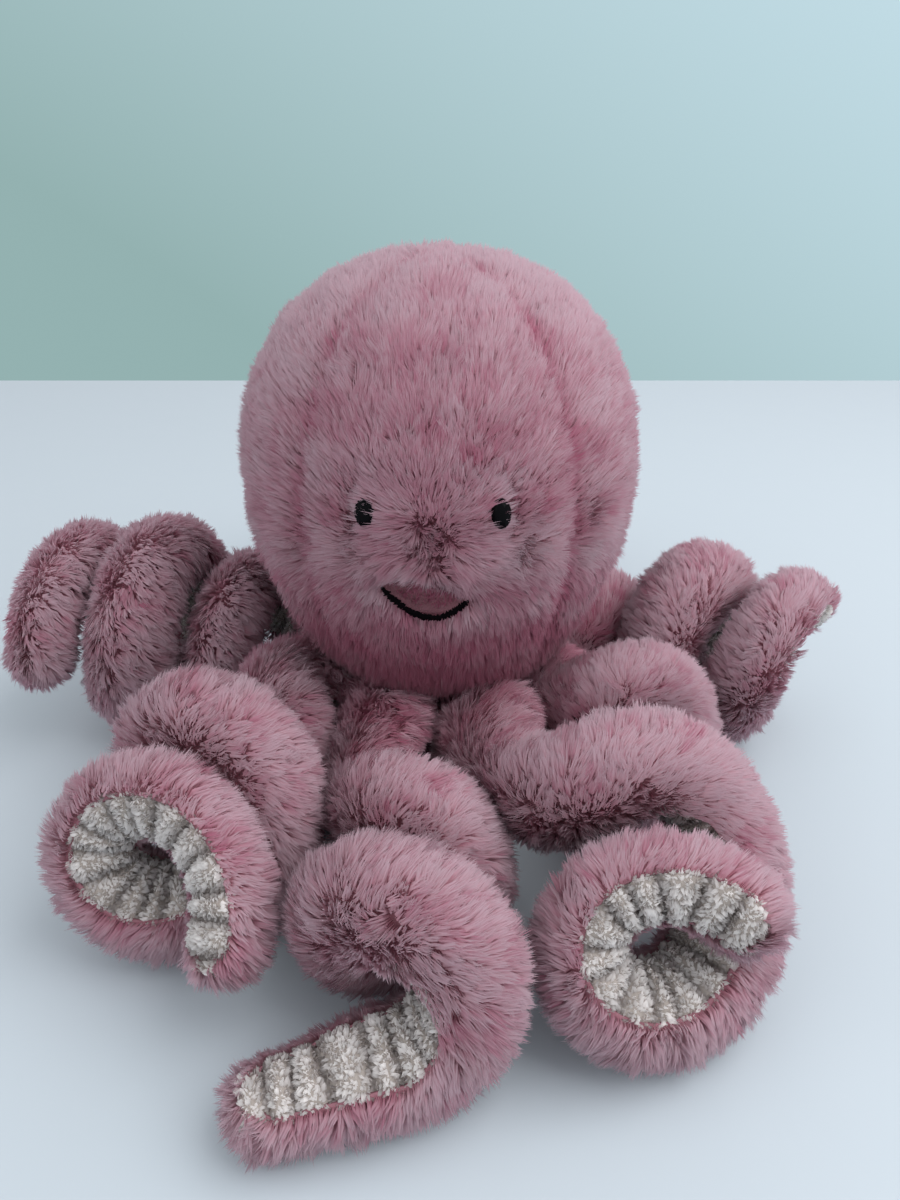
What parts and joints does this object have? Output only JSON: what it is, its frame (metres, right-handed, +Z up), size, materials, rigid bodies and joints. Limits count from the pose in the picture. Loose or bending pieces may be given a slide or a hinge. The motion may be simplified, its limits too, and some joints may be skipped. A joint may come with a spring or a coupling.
{
  "type": "plush octopus",
  "caption": "Soft toy octopus with an egg-shaped sewn head, bead eyes, a stitched smile and curled tentacles of fur with a pale gathered lining.",
  "frame": {"origin": "centre of the base panel's underside, on the floor", "axes": "+Z up; the face looks along -Y; the toy's left tentacles in the picture lie along -X"},
  "size_m": [0.4044, 0.4456, 0.236],
  "materials": {
    "rose_fur": "long soft pile, dusty rose",
    "cream_chenille": "short nubby pile, greige",
    "white_stuffing": "loose polyester fibre",
    "black_eye": "glossy moulded bead",
    "black_thread": "matt embroidery thread"
  },
  "bodies": {
    "head": {"head_front_panel": "rose_fur", "head_right_panel": "rose_fur", "head_back_panel": "rose_fur", "head_left_panel": "rose_fur", "head_filling": "white_stuffing", "base_panel": "rose_fur", "eye_left": "black_eye", "eye_right": "black_eye", "mouth_stitching": "black_thread"},
    "tentacle_1": {"tentacle_1_fur": "rose_fur", "tentacle_1_lining": "cream_chenille", "tentacle_1_filling": "white_stuffing"},
    "tentacle_2": {"tentacle_2_fur": "rose_fur", "tentacle_2_lining": "cream_chenille", "tentacle_2_filling": "white_stuffing"},
    "tentacle_3": {"tentacle_3_fur": "rose_fur", "tentacle_3_lining": "cream_chenille", "tentacle_3_filling": "white_stuffing"},
    "tentacle_4": {"tentacle_4_fur": "rose_fur", "tentacle_4_lining": "cream_chenille", "tentacle_4_filling": "white_stuffing"},
    "tentacle_5": {"tentacle_5_fur": "rose_fur", "tentacle_5_lining": "cream_chenille", "tentacle_5_filling": "white_stuffing"},
    "tentacle_6": {"tentacle_6_fur": "rose_fur", "tentacle_6_lining": "cream_chenille", "tentacle_6_filling": "white_stuffing"},
    "tentacle_7": {"tentacle_7_fur": "rose_fur", "tentacle_7_lining": "cream_chenille", "tentacle_7_filling": "white_stuffing"},
    "tentacle_8": {"tentacle_8_fur": "rose_fur", "tentacle_8_lining": "cream_chenille", "tentacle_8_filling": "white_stuffing"}
  },
  "joints": [
    {"name": "tentacle_1_root", "type": "hinge", "parent": "head", "child": "tentacle_1", "pos_m": [-0.051, 0.0206, 0.041], "axis": [-0.0854, 0.9963, 0], "range_deg": [-30, 16]},
    {"name": "tentacle_2_root", "type": "hinge", "parent": "head", "child": "tentacle_2", "pos_m": [-0.05063, -0.02149, 0.041], "axis": [-0.9397, 0.342, 0], "range_deg": [-20, 16]},
    {"name": "tentacle_3_root", "type": "hinge", "parent": "head", "child": "tentacle_3", "pos_m": [-0.0206, -0.051, 0.041], "axis": [-0.9993, -0.0366, 0], "range_deg": [-20, 16]},
    {"name": "tentacle_4_root", "type": "hinge", "parent": "head", "child": "tentacle_4", "pos_m": [0.0206, -0.051, 0.041], "axis": [-0.9033, -0.4289, 0], "range_deg": [-30, 16]},
    {"name": "tentacle_5_root", "type": "hinge", "parent": "head", "child": "tentacle_5", "pos_m": [0.05063, -0.02149, 0.041], "axis": [-0.7145, -0.6997, 0], "range_deg": [-30, 16]},
    {"name": "tentacle_6_root", "type": "hinge", "parent": "head", "child": "tentacle_6", "pos_m": [0.051, 0.0206, 0.041], "axis": [-0.2045, -0.9789, 0], "range_deg": [-30, 16]},
    {"name": "tentacle_7_root", "type": "hinge", "parent": "head", "child": "tentacle_7", "pos_m": [0.02149, 0.05063, 0.041], "axis": [0.9686, -0.2487, 0], "range_deg": [-30, 12]},
    {"name": "tentacle_8_root", "type": "hinge", "parent": "head", "child": "tentacle_8", "pos_m": [-0.02149, 0.05063, 0.041], "axis": [0.9403, 0.3404, 0], "range_deg": [-30, 12]}
  ]
}
